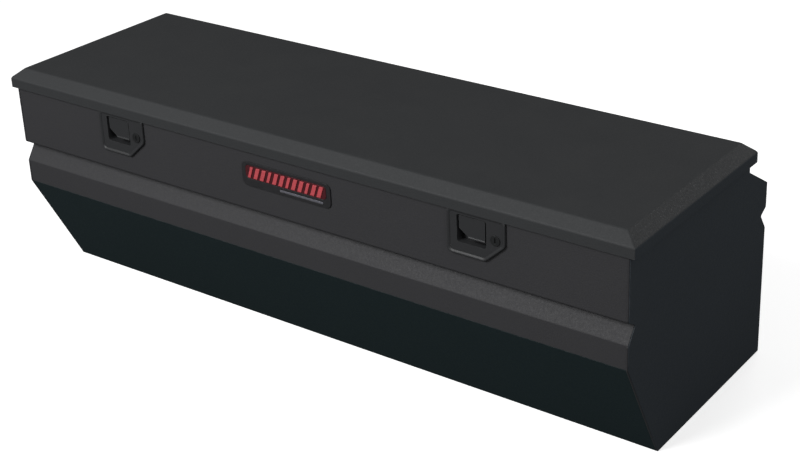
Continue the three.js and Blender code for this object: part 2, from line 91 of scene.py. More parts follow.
CAD_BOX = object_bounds()
SIDES = (("left", -1), ("right", 1))
MM = 0.001
SLOTS = {part["node"]: part["material_slot"] for part in frame["record"]["subparts"]}
JOINTS = {joint["name"]: joint for joint in frame["joints"]}

# Latch outlines about the latch's centre: across, up and corner radius, in millimetres
BEZEL = ((-57, 41, 6), (60, 41, 6), (60, -6, 12), (20, -42, 12), (-57, -42, 9))
RIM_INSIDE = ((-50, 34, 4), (53, 34, 4), (53, -3, 9), (17, -35, 9), (-50, -35, 6))
RIM_SECTION = (  # of the bead round the bezel: share of its width, share of its height
    (0.02, -0.2), (0.02, 0.30), (0.07, 0.66), (0.16, 0.90), (0.28, 1.0),
    (0.42, 0.97), (0.56, 0.82), (0.70, 0.58), (0.84, 0.30), (1.0, -0.1),
)

# Metres
GROOVE = (0.2575, 0.3018)  # where the corner welds stop, below and above the pressed groove
DECK_RISE = (0.077, 0.048)  # run and rise of the sloped deck
WELD_STEP = 0.0022  # from one ripple of a weld to the next
WELD_SINK = 0.0002  # how far a weld's middle lies behind the face
LEAF = 0.0016  # thickness of a hinge leaf
LEAF_GAP = 0.0003  # between the lid's rear face and its leaf
DECK_BELOW_PIN = 0.0042  # from the hinge pin's middle to the deck
BEZEL_PLATE = 0.0024  # how far the bezel's plate stands off the front panel
HEAD_SINK = 0.0004  # how far a rivet's or screw's head reaches into its face
TUBE_RADIUS = 0.0075  # of a gas strut's tube
CRIMPS = (0.205, 0.218)  # where the tube is crimped, from its lower pivot

# Where each lamp stands and how wide it is
LAMPS = {
    "key_light": ((-1.2, -3.85, 3.05), 2.2),
    "fill_light": ((3.4, -1.2, 1.6), 2.4),
    "back_light": ((2.2, 3.0, 1.9), 1.8),
    "rear_light": ((-0.3, 4.2, 0.9), 1.6),
}
LAMPS_AIM = (0, 0, 0.25)
FLOOR_GAP = 0.0005  # between the floor and the chest's underside


def colour(name, text, default):
    return FloatVectorProperty(
        name=name, description=text, default=default, size=3, subtype="COLOR", min=0, max=1
    )


def length(name, text, default):
    return FloatProperty(
        name=name, description=text, default=default, min=0, precision=5,
        unit="LENGTH", subtype="DISTANCE",
    )


def power(name, text, default):
    return FloatProperty(name=name, description=text, default=default, min=0, unit="POWER")


def angle(name, text, degrees):
    return FloatProperty(
        name=name, description=text, default=math.radians(degrees), subtype="ANGLE"
    )


# ------------------------------------------------------------------ settings
class TOOLBOX_PG_finishes(bpy.types.PropertyGroup):
    shell: colour("Shell", "Powder coat of the body", (0.030, 0.030, 0.033))
    lid: colour("Lid", "Powder coat of the lid", (0.027, 0.029, 0.031))
    # Wedge and end colours are darker and cooler than the shell as painted shade: the same coat in
    # less light
    wedge: colour("Wedge", "Powder coat of the wedge", (0.0058, 0.0173, 0.0200))
    ends: colour("Ends", "Powder coat of the end panels", (0.0170, 0.0240, 0.0310))
    lock: colour("Lock", "Dark satin plate of the locks", (0.075, 0.078, 0.080))
    inner: colour("Inner coat", "Powder coat inside the chest", (0.030, 0.031, 0.034))
    latch: colour("Latch coat", "Satin coat of the latches", (0.024, 0.025, 0.027))
    # Colour of edges rubbed thin, which also serves as a painted highlight where edges catch light
    worn_and_lit: colour("Worn coat", "Coat rubbed thin along edges", (0.115, 0.118, 0.122))
    dust: colour("Dust", "Dust on faces that look up", (0.160, 0.155, 0.145))
    zinc: colour("Zinc", "Bright zinc plate", (0.56, 0.57, 0.55))
    steel: colour("Steel", "Polished steel", (0.66, 0.67, 0.68))
    rubber: colour("Rubber", "Seal and gaskets", (0.016, 0.016, 0.016))
    paint: colour("Strut paint", "Gloss black of the gas struts", (0.010, 0.010, 0.011))
    badge: colour("Badge", "Black plate of the badge", (0.019, 0.019, 0.021))
    badge_deep: colour("Badge recess", "Dark red behind the badge's bars", (0.070, 0.008, 0.012))
    badge_red: colour("Badge red", "Red of the badge's bars", (0.58, 0.085, 0.100))
    badge_rule: colour("Badge rule", "Grey rule of the badge", (0.19, 0.19, 0.22))
    grain: FloatProperty(
        name="Grain", description="Grains of powder coat in a metre", default=620, min=50
    )
    grain_depth: length("Grain depth", "Height of the powder coat's grain", 0.00045)


class TOOLBOX_PG_sizes(bpy.types.PropertyGroup):
    sheet: length("Sheet", "Thickness of the lid's sheet", 0.002)
    lid_fold: length("Lid fold", "Outside radius of the lid's folds", 0.0026)
    lid_bevel: length("Lid bevel", "Width of the front and rear bevels, seen from above", 0.020)
    lid_bevel_end: length("End bevel", "Width of the end bevels, seen from above", 0.024)
    lid_bevel_drop: length("Lid bevel drop", "Height of the lid's bevel", 0.019)
    edge: length("Edge", "Radius on the edges of sheet and plate", 0.0006)
    rivet: length("Rivet", "Radius of a rivet's head", 0.0034)
    rivets: IntProperty(
        name="Rivets", description="Rivets along each hinge leaf", default=18, min=2
    )
    screw: length("Screw", "Radius of a screw's head", 0.0042)
    weld: length("Weld", "Radius of the corner welds", 0.0016)
    rim: length("Bezel rim", "How far the latch bezel's rolled rim stands out", 0.0028)


class TOOLBOX_PG_stage(bpy.types.PropertyGroup):
    camera: FloatVectorProperty(
        name="Camera", description="Where the camera stands", default=(1.7559, -2.1745, 1.5562),
        size=3, subtype="TRANSLATION", unit="LENGTH",
    )
    turn: angle("Turn", "Camera's turn round the vertical", 35.003)
    tilt: angle("Tilt", "Camera's tilt below the horizon", 23.679)
    roll: angle("Roll", "Camera's roll", -1.430)
    lens: FloatProperty(
        name="Lens", description="Focal length in millimetres", default=71.75, min=1
    )
    shift: FloatVectorProperty(
        name="Shift", description="Camera's shift", default=(-0.0905, -0.1), size=2
    )
    floor: colour("Floor", "Pale floor", (0.90, 0.90, 0.90))
    key: power("Key light", "Strength of the key light", 180)
    fill: power("Fill light", "Strength of the fill light", 27)
    back: power("Back light", "Strength of the back light", 26)
    rear: power("Rear light", "Strength of the rear light", 60)
    sky: FloatProperty(
        name="Sky", description="Strength of the light from all round", default=0.14, min=0
    )
    glow: FloatProperty(
        name="Floor glow", description="How far the floor is lifted to white", default=0.62, min=0
    )


class TOOLBOX_PG_settings(bpy.types.PropertyGroup):
    finishes: PointerProperty(type=TOOLBOX_PG_finishes)
    sizes: PointerProperty(type=TOOLBOX_PG_sizes)
    stage: PointerProperty(type=TOOLBOX_PG_stage)


def settings():
    return bpy.context.scene.tool_box


# ------------------------------------------------------------------ shader nodes
class Tree:
    """A node tree that is filled by naming a node's kind and its inputs."""

    def __init__(self, tree):
        self.tree = tree

    def link(self, output, socket):
        self.tree.links.new(output, socket)

    def add(self, kind, inputs=None, **attributes):
        node = self.tree.nodes.new("ShaderNode" + kind)
        for key, value in attributes.items():
            setattr(node, key, value)
        for key, value in (inputs or {}).items():
            socket = node.inputs[key]
            if isinstance(value, bpy.types.NodeSocket):
                self.link(value, socket)
            else:
                socket.default_value = value
        return node

    def maths(self, operation, a, b=0.0, clamp=False):
        return self.add("Math", {0: a, 1: b}, operation=operation, use_clamp=clamp).outputs[0]

    def ramp(self, value, low, high, to_low=0.0, to_high=1.0):
        inputs = {
            "Value": value, "From Min": low, "From Max": high, "To Min": to_low, "To Max": to_high,
        }
        return self.add("MapRange", inputs, clamp=True).outputs["Result"]

    def noise(self, vector, scale, detail=2.0, roughness=0.5):
        inputs = {"Vector": vector, "Scale": scale, "Detail": detail, "Roughness": roughness}
        return self.add("TexNoise", inputs).outputs["Fac"]

    def mix(self, factor, a, b):
        return self.add("Mix", {0: factor, 6: a, 7: b}, data_type="RGBA").outputs[2]


def group_tree(name, inputs, outputs):
    """A new shader node group with float sockets: inputs as {name: default}, outputs as names."""
    group = bpy.data.node_groups.new(name, "ShaderNodeTree")
    new_socket = group.interface.new_socket
    for label, default in inputs.items():
        socket = new_socket(name=label, in_out="INPUT", socket_type="NodeSocketFloat")
        socket.default_value = default
    for label in outputs:
        new_socket(name=label, in_out="OUTPUT", socket_type="NodeSocketFloat")
    source = group.nodes.new("NodeGroupInput")
    sink = group.nodes.new("NodeGroupOutput")
    return Tree(group), source.outputs, sink.inputs


def powder_grain():
    """Pimpled skin of a powder coat: its height, its raised flecks and a slow drift of tone."""
    t, given, result = group_tree(
        "Powder grain", {"Scale": 620.0, "Coarse": 0.4}, ("Height", "Fleck", "Drift")
    )
    place = t.add("TexCoord").outputs["Object"]
    fine = t.noise(place, given["Scale"], 3.0, 0.6)
    coarse = t.noise(place, t.maths("MULTIPLY", given["Scale"], 0.34), 2.0, 0.55)
    spots = {"Vector": place, "Scale": given["Scale"], "Smoothness": 0.4}
    pimples = t.add("TexVoronoi", spots, feature="SMOOTH_F1").outputs["Distance"]
    bumps = t.maths("SUBTRACT", fine, t.maths("MULTIPLY", pimples, 0.35))
    height = t.add("Mix", {0: given["Coarse"], 2: bumps, 3: coarse}).outputs[0]
    t.link(height, result["Height"])
    t.link(t.ramp(height, 0.50, 0.72), result["Fleck"])
    slow = t.noise(place, 3.1, 3.0, 0.55)
    t.link(t.ramp(slow, 0.3, 0.7), result["Drift"])
    return t.tree


def edge_wear_and_light_group():
    """Where an edge is rubbed, and where it catches light as a painted highlight: a mask that is
    broken up by a fine noise.
    """
    t, given, result = group_tree("Edge wear", {"Radius": 0.0015, "Amount": 0.5}, ("Mask",))
    normal = t.add("NewGeometry").outputs["Normal"]
    round_normal = t.add("Bevel", {"Radius": given["Radius"]}, samples=4).outputs["Normal"]
    agree = t.add("VectorMath", {0: normal, 1: round_normal}, operation="DOT_PRODUCT")
    edge = t.ramp(agree.outputs["Value"], 0.995, 0.90)
    place = t.add("TexCoord").outputs["Object"]
    broken = t.ramp(t.noise(place, 90.0, 4.0, 0.65), 0.42, 0.62)
    mask = t.maths("MULTIPLY", t.maths("MULTIPLY", edge, broken), given["Amount"], True)
    t.link(mask, result["Mask"])
    return t.tree


def settled_dust():
    """Dust on faces that look up, in soft patches."""
    t, given, result = group_tree("Settled dust", {"Amount": 0.2}, ("Mask",))
    coordinates = t.add("TexCoord").outputs
    upward = t.add("SeparateXYZ", {0: coordinates["Normal"]}).outputs["Z"]
    level = t.ramp(upward, 0.55, 1.0)
    patches = t.ramp(t.noise(coordinates["Object"], 11.0, 6.0, 0.62), 0.35, 0.75)
    specks = t.ramp(t.noise(coordinates["Object"], 420.0, 2.0, 0.5), 0.58, 0.72)
    cover = t.maths("ADD", patches, t.maths("MULTIPLY", specks, 0.5), True)
    mask = t.maths("MULTIPLY", t.maths("MULTIPLY", level, cover), given["Amount"], True)
    t.link(mask, result["Mask"])
    return t.tree


def brush_lines():
    """Fine lines left on metal by rolling and polishing, as a height and a tone."""
    t, given, result = group_tree(
        "Brush lines", {"Scale": 900.0, "Length": 0.04}, ("Height", "Tone")
    )
    place = t.add("TexCoord").outputs["Object"]
    parts = t.add("SeparateXYZ", {0: place}).outputs
    shrunk = t.maths("MULTIPLY", parts["X"], given["Length"])
    stretched = t.add("CombineXYZ", {0: shrunk, 1: parts["Y"], 2: parts["Z"]}).outputs[0]
    lines = t.noise(stretched, given["Scale"], 2.0, 0.6)
    blotches = t.noise(place, 60.0, 4.0, 0.6)
    t.link(lines, result["Height"])
    tone = t.add("Mix", {0: 0.45, 2: lines, 3: blotches}).outputs[0]
    t.link(t.ramp(tone, 0.32, 0.68), result["Tone"])
    return t.tree


GROUPS = {
    "Powder grain": powder_grain,
    "Edge wear": edge_wear_and_light_group,
    "Settled dust": settled_dust,
    "Brush lines": brush_lines,
}


def effect(t, name, **values):
    """Places a shared effect in a material, built the first time it is asked for."""
    group = bpy.data.node_groups.get(name) or GROUPS[name]()
    node = t.add("Group", node_tree=group)
    for key, value in values.items():
        node.inputs[key].default_value = value
    return node.outputs


def new_material(name, roughness, metallic=0.0):
    material = bpy.data.materials.new(name)
    material.use_nodes = True
    shader = material.node_tree.nodes["Principled BSDF"]
    shader.inputs["Roughness"].default_value = roughness
    shader.inputs["Metallic"].default_value = metallic
    return material, Tree(material.node_tree), shader


def rgba(value, gain=1.0):
    return tuple(min(1.0, c * gain) for c in value) + (1.0,)


def bumped(t, shader, height, distance, strength=1.0):
    inputs = {"Height": height, "Distance": distance, "Strength": strength}
    t.link(t.add("Bump", inputs).outputs["Normal"], shader.inputs["Normal"])


def powder_coat(
    name, base, rough=(0.50, 0.74), coarse=0.4, depth=1.0, wear_and_edge_light=0.35, dust=0.12,
    grain=1.0, gloss=0.5, fleck=(0.30, 2.1),
):
    """Textured black powder coat, rubbed and lightened along its edges as a painted highlight, and
    lightly dusty on top.

    rough is from its peaks to its pits, fleck is how much its raised flecks show and how bright.
    """
    f = settings().finishes
    material, t, shader = new_material(name, 0.6)
    skin = effect(t, "Powder grain", Scale=f.grain * grain, Coarse=coarse)
    worn_and_lit = effect(t, "Edge wear", Radius=0.0014, Amount=wear_and_edge_light)["Mask"]
    dusty = effect(t, "Settled dust", Amount=dust)["Mask"]
    drifted = t.mix(skin["Drift"], rgba(base, 0.97), rgba(base, 1.04))
    flecked = t.mix(t.maths("MULTIPLY", skin["Fleck"], fleck[0]), drifted, rgba(base, fleck[1]))
    # Lighter along the edges: rubbed coat, and a painted highlight of edges catching light
    rubbed = t.mix(worn_and_lit, flecked, rgba(f.worn_and_lit))
    t.link(t.mix(dusty, rubbed, rgba(f.dust)), shader.inputs["Base Color"])
    skin_rough = t.ramp(skin["Height"], 0.25, 0.75, rough[1], rough[0])
    dust_rough = t.maths("MULTIPLY", dusty, 0.5)
    t.link(t.maths("ADD", skin_rough, dust_rough, True), shader.inputs["Roughness"])
    shader.inputs["Specular IOR Level"].default_value = gloss
    bumped(t, shader, skin["Height"], f.grain_depth * depth)
    return material


def plated(name, base, rough=(0.24, 0.42), length_share=0.04, dark=0.72):
    """Bare or plated metal with rolling lines and dull patches."""
    material, t, shader = new_material(name, 0.3, 1.0)
    lines = effect(t, "Brush lines", Scale=900.0, Length=length_share)
    worn_and_lit = effect(t, "Edge wear", Radius=0.0008, Amount=0.5)["Mask"]
    toned = t.mix(lines["Tone"], rgba(base, dark), rgba(base, 1.08))
    # Lighter along the edges: rubbed metal, and a painted highlight
    t.link(t.mix(worn_and_lit, toned, rgba(base, 1.25)), shader.inputs["Base Color"])
    t.link(t.ramp(lines["Tone"], 0.0, 1.0, rough[1], rough[0]), shader.inputs["Roughness"])
    bumped(t, shader, lines["Height"], 0.00006)
    return material


def rubbery(name, base):
    """Moulded rubber with a fine skin and dust in its pores."""
    material, t, shader = new_material(name, 0.85)
    skin = effect(t, "Powder grain", Scale=1500.0, Coarse=0.5)
    dusty = effect(t, "Settled dust", Amount=0.35)["Mask"]
    toned = t.mix(skin["Drift"], rgba(base, 0.8), rgba(base, 1.4))
    t.link(t.mix(dusty, toned, rgba(settings().finishes.dust)), shader.inputs["Base Color"])
    t.link(t.ramp(skin["Height"], 0.2, 0.8, 0.92, 0.70), shader.inputs["Roughness"])
    bumped(t, shader, skin["Height"], 0.00012)
    return material


def glossy(name, base, rough=(0.16, 0.34), metallic=0.0):
    """Gloss enamel with a faint ripple and fine rub marks."""
    material, t, shader = new_material(name, 0.25, metallic)
    lines = effect(t, "Brush lines", Scale=500.0, Length=0.3)
    worn_and_lit = effect(t, "Edge wear", Radius=0.0006, Amount=0.4)["Mask"]
    toned = t.mix(lines["Tone"], rgba(base, 0.85), rgba(base, 1.12))
    # Lighter along the edges: rubbed enamel, and a painted highlight
    t.link(t.mix(worn_and_lit, toned, rgba(base, 1.9)), shader.inputs["Base Color"])
    t.link(t.ramp(lines["Tone"], 0.0, 1.0, rough[0], rough[1]), shader.inputs["Roughness"])
    bumped(t, shader, lines["Height"], 0.00004)
    return material


def finish_of(name):
    """The named finish, made the first time it is asked for."""
    found = bpy.data.materials.get(name)
    if found:
        return found
    f = settings().finishes
    makers = {
        "shell coat": lambda: powder_coat(name, f.shell),
        "lid coat": lambda: powder_coat(name, f.lid, coarse=0.3, dust=0.03, depth=0.8),
        # Bright coarse flecks and strong edge lightening paint in the sparkle and glancing highlight
        # on the lid's end bevels
        "bevel coat with painted sparkle": lambda: powder_coat(
            name, f.lid, coarse=0.15, dust=0.03, depth=3.0, grain=0.42, wear_and_edge_light=0.5, fleck=(0.85, 3.4)
        ),
        # Darker, cooler bases on the wedge and ends paint in their shade
        "wedge coat with painted shade": lambda: powder_coat(name, f.wedge, rough=(0.58, 0.80), dust=0.03, gloss=0.35),
        "end coat with painted shade": lambda: powder_coat(name, f.ends, rough=(0.56, 0.78), dust=0.03),
        "lock satin": lambda: plated(name, f.lock, rough=(0.42, 0.60)),
        "inner coat": lambda: powder_coat(
            name, f.inner, rough=(0.45, 0.65), depth=0.6, wear_and_edge_light=0.2, dust=0.2
        ),
        # Strong edge lightening paints a highlight along the welds, and on the hinge leaves and
        # rivets in this coat
        "weld coat": lambda: powder_coat(
            name, f.shell, rough=(0.38, 0.56), depth=0.5, wear_and_edge_light=0.7, dust=0.05
        ),
        # Its edge lightening is partly a painted highlight on the paddles' edges
        "latch coat": lambda: powder_coat(
            name, f.latch, rough=(0.40, 0.56), coarse=0.2, depth=0.25, wear_and_edge_light=0.45, dust=0.03,
            grain=1.8,
        ),
        "strut paint": lambda: glossy(name, f.paint),
        "zinc plate": lambda: plated(name, f.zinc),
        "polished steel": lambda: plated(name, f.steel, rough=(0.12, 0.26), dark=0.85),
        "rubber": lambda: rubbery(name, f.rubber),
        "badge black": lambda: glossy(name, f.badge, rough=(0.34, 0.52)),
        "badge recess": lambda: glossy(name, f.badge_deep, rough=(0.30, 0.48)),
        "badge red": lambda: glossy(name, f.badge_red, rough=(0.28, 0.46)),
        "badge grey": lambda: glossy(name, f.badge_rule, rough=(0.26, 0.42), metallic=0.4),
    }
    return makers[name]()


SLOT_FINISH = {
    "powder_coat": "shell coat",
    "inner_coat": "inner coat",
    "latch_coat": "latch coat",
    "strut_black": "strut paint",
    "zinc": "zinc plate",
    "steel": "polished steel",
    "rubber": "rubber",
    "badge_black": "badge black",
    "badge_red": "badge red",
    "badge_silver": "badge grey",
}


# ------------------------------------------------------------------ pieces
def placed(name, data):
    """A new object in the scene."""
    item = bpy.data.objects.new(name, data)
    bpy.context.scene.collection.objects.link(item)
    return item


def piece_of(name, bm, finish, body, replaces=()):
    """Turns a bmesh into a piece that rides on a body and stands for the CAD nodes it replaces."""
    bmesh.ops.recalc_face_normals(bm, faces=bm.faces)
    mesh = bpy.data.meshes.new(name)
    bm.to_mesh(mesh)
    bm.free()
    mesh.polygons.foreach_set("use_smooth", [True] * len(mesh.polygons))
    mesh.materials.append(finish_of(finish))
    piece = placed(name, mesh)
    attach(piece, body)
    if replaces:
        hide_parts(*replaces)
    return piece


def bevelled(piece, name, width, segments, degrees):
    """Rounds the edges that turn by more than an angle."""
    bevel = piece.modifiers.new(name, "BEVEL")
    bevel.width = width
    bevel.segments = segments
    bevel.limit_method = "ANGLE"
    bevel.angle_limit = math.radians(degrees)


def thickened(piece, thickness, offset):
    """Gives a sheet its thickness: to its inside at -1, to its outside at 1."""
    thick = piece.modifiers.new("sheet", "SOLIDIFY")
    thick.thickness = thickness
    thick.offset = offset


def round_edges(piece, width, degrees=35.0):
    """Rounds the sharp edges and keeps flat faces flat in the shading."""
    if width > 0:
        bevelled(piece, "rounded edges", width, 2, degrees)
    weighted = piece.modifiers.new("flat faces", "WEIGHTED_NORMAL")
    weighted.weight = 90


def rounded_node(node, width=None, finish=None, degrees=35.0):
    """A CAD node's solid again, with its coplanar triangles joined and its edges rounded."""
    cad = frame["nodes"][node]
    bm = bmesh.new()
    bm.from_mesh(cad.data)
    bmesh.ops.remove_doubles(bm, verts=bm.verts, dist=1e-6)
    bmesh.ops.dissolve_limit(bm, angle_limit=math.radians(0.4), verts=bm.verts, edges=bm.edges)
    finish = finish or SLOT_FINISH[SLOTS[node]]
    piece = piece_of("rounded_" + node, bm, finish, cad["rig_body"], (node,))
    old_normals = piece.data.attributes.get("custom_normal")
    if old_normals:
        piece.data.attributes.remove(old_normals)
    round_edges(piece, settings().sizes.edge if width is None else width, degrees)


def ring_of(bm, centre, side, other, radius, count):
    """New vertices round a circle."""
    turns = (2 * math.pi * i / count for i in range(count))
    return [
        bm.verts.new(centre + (side * math.cos(a) + other * math.sin(a)) * radius) for a in turns
    ]


def turned(bm, centre, axis, profile, segments=18):
    """Adds a turned head or ring, its profile as (radius, height above the centre)."""
    axis = Vector(axis).normalized()
    side = axis.orthogonal().normalized()
    other = axis.cross(side)
    rings = []
    for radius, height in profile:
        middle = Vector(centre) + axis * height
        if radius == 0:
            rings.append([bm.verts.new(middle)])
        else:
            rings.append(ring_of(bm, middle, side, other, radius, segments))
    for first, second in zip(rings, rings[1:]):
        for i in range(segments):
            j = (i + 1) % segments
            if len(first) == 1:
                bm.faces.new((first[0], second[i], second[j]))
            else:
                bm.faces.new((first[i], second[i], second[j], first[j]))
    bm.faces.new(rings[-1])


def rivet(bm, centre, axis, radius):
    """A domed rivet head that sits on a face."""
    dome = [(radius * math.sin(a), radius * 0.42 * math.cos(a)) for a in (0, 0.4, 0.8, 1.15, 1.45)]
    turned(bm, centre, axis, dome + [(radius, -HEAD_SINK)])


def screw(bm, centre, axis, radius):
    """A pan head with a socket in its middle."""
    high = radius * 0.62
    profile = (
        (0, high * 0.35), (radius * 0.36, high * 0.35), (radius * 0.42, high * 0.97),
        (radius * 0.70, high), (radius * 0.92, high * 0.78), (radius, high * 0.40),
        (radius, -HEAD_SINK),
    )
    turned(bm, centre, axis, profile)


def weld(bm, points, radius, ripple=0.25, sides=8):
    """Adds a round weld bead along a line of points, with ripples across it."""
    points = [Vector(p) for p in points]
    line = []
    for a, b in zip(points, points[1:]):
        count = max(1, round((b - a).length / WELD_STEP))
        line += [a.lerp(b, i / count) for i in range(count)]
    line.append(points[-1])
    rings = []
    for i, p in enumerate(line):
        way = (line[min(i + 1, len(line) - 1)] - line[max(i - 1, 0)]).normalized()
        if rings:
            side = (side - way * side.dot(way)).normalized()
        else:
            side = way.orthogonal().normalized()
        swollen = radius * (1 + ripple * (0.5 if i % 2 else -0.5))
        rings.append(ring_of(bm, p, side, way.cross(side), swollen, sides))
    for first, second in zip(rings, rings[1:]):
        for k in range(sides):
            m = (k + 1) % sides
            bm.faces.new((first[k], first[m], second[m], second[k]))
    bm.faces.new(rings[0])
    bm.faces.new(rings[-1])


def corner_arc(a, b, c, radius, steps):
    """Points of an arc that rounds the corner at b."""
    a, b, c = Vector(a), Vector(b), Vector(c)
    to_a, to_c = (a - b).normalized(), (c - b).normalized()
    half = math.acos(max(-1.0, min(1.0, to_a.dot(to_c)))) / 2
    back = radius / math.tan(half)
    centre = b + (to_a + to_c).normalized() * (radius / math.sin(half))
    start, end = b + to_a * back - centre, b + to_c * back - centre
    sweep = math.atan2(start.x * end.y - start.y * end.x, start.dot(end))
    return [centre + Matrix.Rotation(sweep * i / steps, 2) @ start for i in range(steps + 1)]


def rounded_outline(corners, steps=6):
    """A closed outline from (across, up, radius) corners, in millimetres."""
    n = len(corners)
    points = []
    for i, (u, v, radius) in enumerate(corners):
        points += corner_arc(corners[i - 1][:2], (u, v), corners[(i + 1) % n][:2], radius, steps)
    return points


# ------------------------------------------------------------------ operators
class Build:
    """What the operators have in common."""

    bl_options = {"REGISTER", "UNDO"}

    def execute(self, context):
        self.build()
        return {"FINISHED"}


class TOOLBOX_OT_lid(Build, bpy.types.Operator):
    """Lid: bevelled skin, pressed liner and its hat channels"""

    bl_idname = "toolbox.lid"
    bl_label = "Lid"

    def build(self):
        s = settings().sizes
        low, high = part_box("lid_skin")
        bm = bmesh.new()
        rings = []
        for share, z in ((0, low.z), (0, high.z - s.lid_bevel_drop), (1, high.z)):
            in_x, in_y = share * s.lid_bevel_end, share * s.lid_bevel
            corners = (
                (low.x + in_x, low.y + in_y), (high.x - in_x, low.y + in_y),
                (high.x - in_x, high.y - in_y), (low.x + in_x, high.y - in_y),
            )
            rings.append([bm.verts.new((x, y, z)) for x, y in corners])
        # The lid's ends take painted shade on the lip, and a painted sparkle on the bevel
        for lower, upper, end_painted_light_slot in ((rings[0], rings[1], 1), (rings[1], rings[2], 2)):
            for i in range(4):
                j = (i + 1) % 4
                face = bm.faces.new((lower[i], lower[j], upper[j], upper[i]))
                face.material_index = end_painted_light_slot if i % 2 else 0
        bm.faces.new(rings[-1])
        skin = piece_of("lid_skin_sheet", bm, "lid coat", "lid", ("lid_skin",))
        for finish in ("end coat with painted shade", "bevel coat with painted sparkle"):
            skin.data.materials.append(finish_of(finish))
        bevelled(skin, "folds", s.lid_fold, 4, 20)
        thickened(skin, s.sheet, -1)
        round_edges(skin, s.edge, 60)
        self.liner()
        for node in ("lid_stiffener_front", "lid_stiffener_rear"):
            rounded_node(node, 0.0003)

    def liner(self):
        """Inner pan with long pressed beads and a row of rivets along each side."""
        low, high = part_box("lid_liner")
        rounded_node("lid_liner", 0.0004)
        half_length, half_width, drop = 0.62, 0.012, 0.0026
        section = (
            (-half_width, 0), (-half_width * 0.8, -drop * 0.5), (-half_width * 0.45, -drop),
            (half_width * 0.45, -drop), (half_width * 0.8, -drop * 0.5), (half_width, 0),
        )
        stations = (  # along the lid, and how far the bead has grown there
            (-half_length, 0.0), (-half_length + 0.006, 0.7), (-half_length + 0.016, 1.0),
            (half_length - 0.016, 1.0), (half_length - 0.006, 0.7), (half_length, 0.0),
        )
        bm = bmesh.new()
        for share in (0.27, 0.50, 0.76):
            y = low.y + (high.y - low.y) * share
            rows = []
            for x, grown in stations:
                size = 0.5 + 0.5 * grown
                rows.append([
                    bm.verts.new((x, y + u * size, low.z + 0.0002 + w * grown)) for u, w in section
                ])
            for a, b in zip(rows, rows[1:]):
                for i in range(len(section) - 1):
                    bm.faces.new((a[i], a[i + 1], b[i + 1], b[i]))
        beads = piece_of("lid_liner_beads", bm, "inner coat", "lid")
        thickened(beads, 0.0006, 1)

        count, from_end, from_side = 24, 0.02, 0.006
        bm = bmesh.new()
        for i in range(count):
            x = low.x + from_end + (high.x - low.x - 2 * from_end) * i / (count - 1)
            for y in (low.y + from_side, high.y - from_side):
                rivet(bm, (x, y, low.z), (0, 0, -1), settings().sizes.rivet * 0.7)
        piece_of("lid_liner_rivets", bm, "inner coat", "lid")


class TOOLBOX_OT_shell(Build, bpy.types.Operator):
    """Body shell: folded panels, end panels, rim angles and corner welds"""

    bl_idname = "toolbox.shell"
    bl_label = "Body shell"

    def build(self):
        panels = ("front_panel", "wedge_panel", "floor_panel", "rear_panel", "rear_deck")
        ends = ("left_end_panel", "right_end_panel", "left_rim_angle", "right_rim_angle")
        # The wedge and end panels take finishes with painted shade
        own_finish = {
            "wedge_panel": "wedge coat with painted shade",
            "left_end_panel": "end coat with painted shade",
            "right_end_panel": "end coat with painted shade",
        }
        for node in panels + ends:
            rounded_node(node, finish=own_finish.get(node))
        front_low, front_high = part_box("front_panel")
        rear_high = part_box("rear_panel")[1]
        wedge_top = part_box("wedge_panel")[1].z
        face, back = front_low.y + WELD_SINK, rear_high.y - WELD_SINK
        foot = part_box("floor_panel")[0].y - 0.0028
        bm = bmesh.new()
        for _, side in SIDES:
            x = side * (front_high.x - 0.001)
            # Each line stops a little short of the fold or groove that it runs to
            for line in (
                [(x, face, front_high.z - 0.006), (x, face, GROOVE[1])],
                [(x, face, GROOVE[0]), (x, face, wedge_top), (x, foot, 0.003)],
                [(x, back, 0.004), (x, back, GROOVE[0])],
                [(x, back, GROOVE[1]), (x, back, rear_high.z - 0.003)],
            ):
                weld(bm, line, settings().sizes.weld)
        piece_of("corner_welds", bm, "weld coat", "box")


class TOOLBOX_OT_seal(Build, bpy.types.Operator):
    """Rubber seal on the rim"""

    bl_idname = "toolbox.seal"
    bl_label = "Lid seal"

    def build(self):
        rounded_node("lid_seal", 0.0012, degrees=50)


class TOOLBOX_OT_hinge(Build, bpy.types.Operator):
    """Piano hinge with its leaves, pin and rivets"""

    bl_idname = "toolbox.hinge"
    bl_label = "Hinge"

    def build(self):
        s = settings().sizes
        for node in ("hinge_lid_leaf", "hinge_body_leaf"):
            rounded_node(node, 0.0003, "weld coat", degrees=50)
        rounded_node("hinge_pin", 0.0003)
        low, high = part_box("hinge_lid_leaf")
        leaf_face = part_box("lid_skin")[1].y + LEAF_GAP + LEAF
        from_end, from_edge = 0.03, 0.007
        run = high.x - low.x - 2 * from_end
        places = [low.x + from_end + run * i / (s.rivets - 1) for i in range(s.rivets)]
        bm = bmesh.new()
        for x in places:
            rivet(bm, (x, leaf_face, high.z - from_edge), (0, 1, 0), s.rivet)
        piece_of("hinge_lid_rivets", bm, "weld coat", "lid")

        slope = math.atan2(DECK_RISE[1], DECK_RISE[0])
        down = Vector((0, math.cos(slope), -math.sin(slope)))
        up = Vector((0, math.sin(slope), math.cos(slope)))
        pin = Vector(JOINTS["lid_hinge"]["pos_m"])
        from_pin = 0.020
        middle = pin + down * from_pin + up * (LEAF - DECK_BELOW_PIN)
        bm = bmesh.new()
        for x in places:
            rivet(bm, (x, middle.y, middle.z), up, s.rivet)
        piece_of("hinge_deck_rivets", bm, "weld coat", "box")


